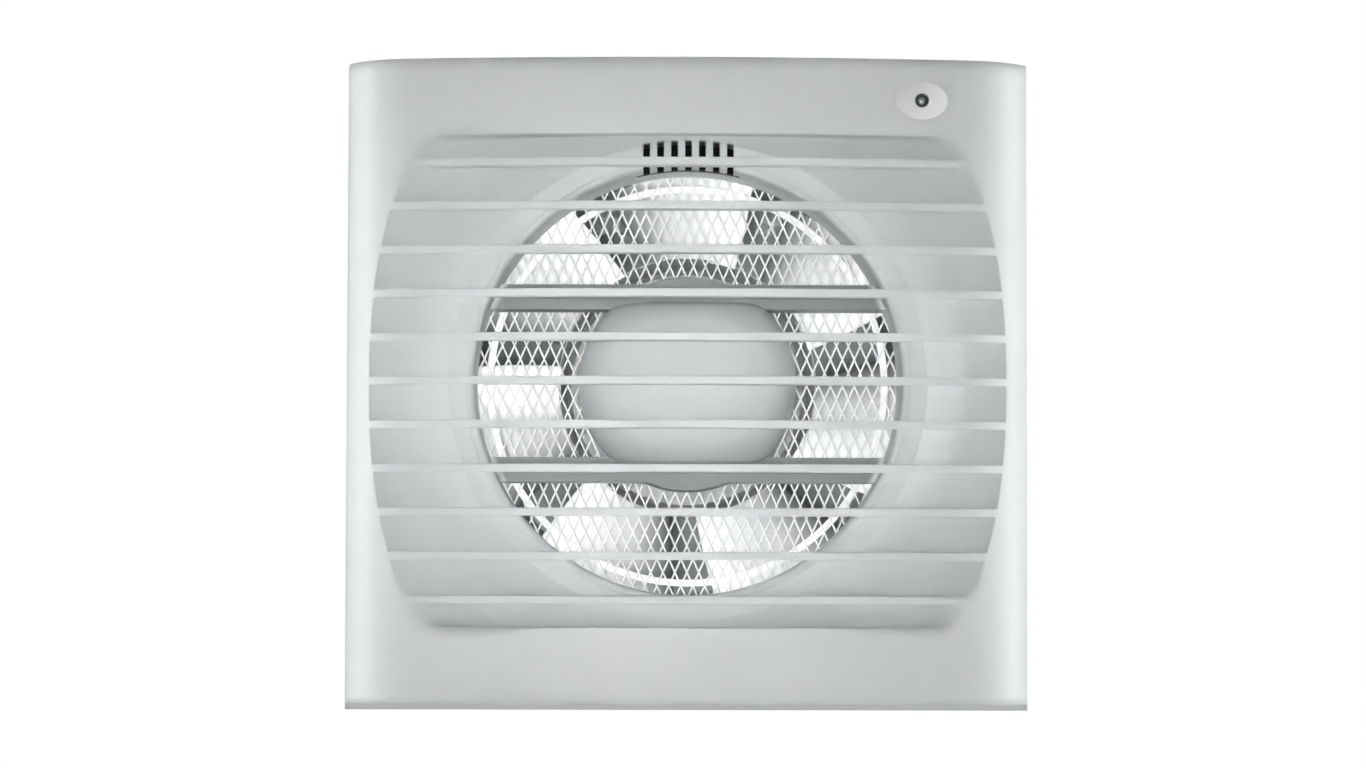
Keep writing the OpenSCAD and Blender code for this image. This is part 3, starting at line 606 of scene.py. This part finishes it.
# Lamp bezel: a low oval swelling over the hollow in the crowned face, with a thin rim round the lamp's
# dome. Lengths are in mm.
LAMP_LOW, LAMP_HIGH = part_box("indicator_lamp")
LAMP_X, LAMP_Z = ((LAMP_LOW[i] + LAMP_HIGH[i]) / 2 / MM for i in (0, 2))
LAMP_FRONT = LAMP_LOW.y / MM
LAMP_SINK = 0.2
CROWN_R = 400
BEZEL_HALF_W, BEZEL_HALF_H, BEZEL_RISE = 5.6, 4.05, 0.45
BEZEL_SET, BEZEL_LIFT = 0.1, 0.03
BEZEL_STEPS, BEZEL_RINGS = 72, 10
RIM_R, RIM_T = 1.68, 0.22
RIM_STEPS, RIM_SIDES = 48, 8


def face_y(x):
    """Front of the crowned face, which stands a little before the lamp's dome at the lamp."""
    at_lamp = math.sqrt(CROWN_R**2 - LAMP_X**2)
    return LAMP_FRONT - LAMP_SINK + at_lamp - math.sqrt(CROWN_R**2 - x**2)


def lamp_bezel():
    mesh = bmesh.new()
    shares = [i / BEZEL_RINGS for i in range(BEZEL_RINGS + 1)]
    front = [(share, BEZEL_RISE * (1 - share**2)) for share in shares]
    back = [(share, -BEZEL_SET) for share in reversed(shares)]
    rings = []
    for share, rise in front + back:
        ring = []
        for k in range(BEZEL_STEPS):
            a = 2 * math.pi * k / BEZEL_STEPS
            x = LAMP_X + math.cos(a) * (RIM_R + (BEZEL_HALF_W - RIM_R) * share)
            z = LAMP_Z + math.sin(a) * (RIM_R + (BEZEL_HALF_H - RIM_R) * share)
            ring.append(mesh.verts.new((x, face_y(x) - rise - BEZEL_LIFT, z)))
        rings.append(ring)
    skin(mesh, rings + rings[:1])
    smooth(piece("lamp_bezel", mesh, "housing", bezel_abs, "moulded_white"), angle=50)


def lamp_rim():
    mesh = bmesh.new()
    crest = face_y(LAMP_X) - BEZEL_RISE
    angles = [2 * math.pi * k / RIM_SIDES for k in range(RIM_SIDES)]
    profile = [(RIM_R + RIM_T * math.cos(a), crest + RIM_T * math.sin(a)) for a in angles]
    lathe(mesh, profile, RIM_STEPS)
    bmesh.ops.translate(mesh, vec=(LAMP_X, 0, LAMP_Z), verts=mesh.verts)
    smooth(piece("lamp_rim", mesh, "housing", bezel_abs, "moulded_white"), angle=60)


blend_creases(nodes["front_cover"], angle=14)
blend_creases(nodes["indicator_lamp"], angle=40)
lamp_bezel()
lamp_rim()
net = insect_net()
wheel = impeller()
hub = impeller_hub()
motor_pod()


# Stage, lights and camera

# Strength of the white surround as light, and as the camera sees it
SURROUND_LIGHT, SURROUND_SEEN = 0.06, 1.0
# The floor's radius and height, and the least distance that the camera sees, in metres
FLOOR_R, FLOOR_Z, CLIP_START = 1.2, -0.75, 0.05
# The camera's place, aim, lens and sensor in mm, and its roll in degrees
CAMERA_AT, CAMERA_AIM = (-6, -892, -45), (0, -20, 0)
CAMERA_LENS, CAMERA_SENSOR = 106.7, 36
CAMERA_ROLL = 0.14
# The camera's shift, in pixels of a picture this wide
SHIFT_RIGHT, SHIFT_UP, PICTURE_W = -4.6, -0.3, 1366


def softbox(name, place, target, size, power, spread=180):
    """A lit panel, aimed at a point: width and height in metres, power in watts, spread in degrees."""
    light = bpy.data.lights.new(name, "AREA")
    light.shape = "RECTANGLE"
    light.size, light.size_y = size
    light.energy = power
    light.spread = math.radians(spread)
    made = put(name, light, place)
    made.rotation_euler = (Vector(target) - made.location).to_track_quat("-Z", "Y").to_euler()
    return made


def group(name, members):
    """A collection that names which objects a softbox lights or which ones shade it."""
    made = bpy.data.collections.new(name)
    for member in members:
        made.objects.link(member)
    return made


# White to the camera, and a dimmer white as light, so that the softboxes shape the object.
world = bpy.data.worlds.new("white_studio")
scene.world = world
world.use_nodes = True
sky = world.node_tree
sky.nodes.clear()
seen = add(sky, "ShaderNodeLightPath").outputs["Is Camera Ray"]
strength = add(
    sky, "ShaderNodeMapRange", {"Value": seen, "To Min": SURROUND_LIGHT, "To Max": SURROUND_SEEN}
)
backdrop = add(
    sky,
    "ShaderNodeBackground",
    {"Color": linear("#ffffff"), "Strength": strength.outputs["Result"]},
)
add(sky, "ShaderNodeOutputWorld", {"Surface": backdrop.outputs["Background"]})

# Name, place, aim, size and power, with the spread where it is narrow
softbox("front_softbox", (0.0, -1.25, -0.05), (0, 0, 0), (0.4, 0.2), 1.2)
softbox("left_softbox", (-0.3, -1.25, -0.08), (0, 0, 0), (0.7, 0.5), 0.45)
softbox("middle_softbox", (-0.06, -1.0, -0.06), (-0.008, 0, 0), (0.1, 0.1), 0.0262, spread=13)
softbox("low_softbox", (0.4, -0.7, -0.4), (0.02, 0, -0.05), (0.5, 0.3), 0.85)
softbox("rear_softbox", (0.3, 0.9, 0.5), (0, 0.03, 0), (0.6, 0.6), 5.0)
for side in (-1, 1):
    softbox("side_softbox", (side * 0.6, -0.025, 0.0), (side * 0.06, -0.03, 0), (0.1, 0.9), 2.9)
    softbox("louvre_softbox", (0.0, -0.25, side * 0.65), (0, 0, 0), (1.0, 0.2), 0.62)
    softbox("small_softbox", (side * 0.5, -0.8, 0.55), (0.05, -0.03, 0.05), (0.3, 0.3), 0.36)

# Softboxes beside the camera that only light what stands behind the louvre, which would leave it dark.
behind_louvre = [net, wheel, nodes["damper_flap"]]
shading = group("shading_behind_the_louvre", behind_louvre)
for name, power, lit in (("inlet_softbox", 6.9, behind_louvre), ("hub_softbox", 1.2, [hub])):
    fill = softbox(name, (-0.06, -1.0, -0.12), (0, 0, 0), (0.16, 0.16), power)
    fill.light_linking.receiver_collection = group(name + "_lights", lit)
    fill.light_linking.blocker_collection = shading

# Paper of the floor, pressed matt: an even white with no shine.
floor_mesh = bmesh.new()
bmesh.ops.create_circle(floor_mesh, cap_ends=True, segments=96, radius=FLOOR_R)
floor = put("floor", mesh_data("floor", floor_mesh), (0, 0, FLOOR_Z))
floor.data.materials.append(moulded("matt_paper_floor", "#eeeeee", "#f2f2f2", 0.8, grain=1.0, cloud=60))

camera_lens = bpy.data.cameras.new("camera")
camera_lens.lens = CAMERA_LENS
camera_lens.sensor_width = CAMERA_SENSOR
camera_lens.shift_x = SHIFT_RIGHT / PICTURE_W
camera_lens.shift_y = SHIFT_UP / PICTURE_W
camera_lens.clip_start = CLIP_START
camera = put("camera", camera_lens, Vector(CAMERA_AT) * MM)
look = (Vector(CAMERA_AIM) * MM - camera.location).to_track_quat("-Z", "Y").to_matrix().to_4x4()
camera.rotation_euler = (look @ Matrix.Rotation(math.radians(CAMERA_ROLL), 4, "Z")).to_euler()
scene.camera = camera

scene.view_settings.view_transform = "Standard"
scene.view_settings.look = "None"
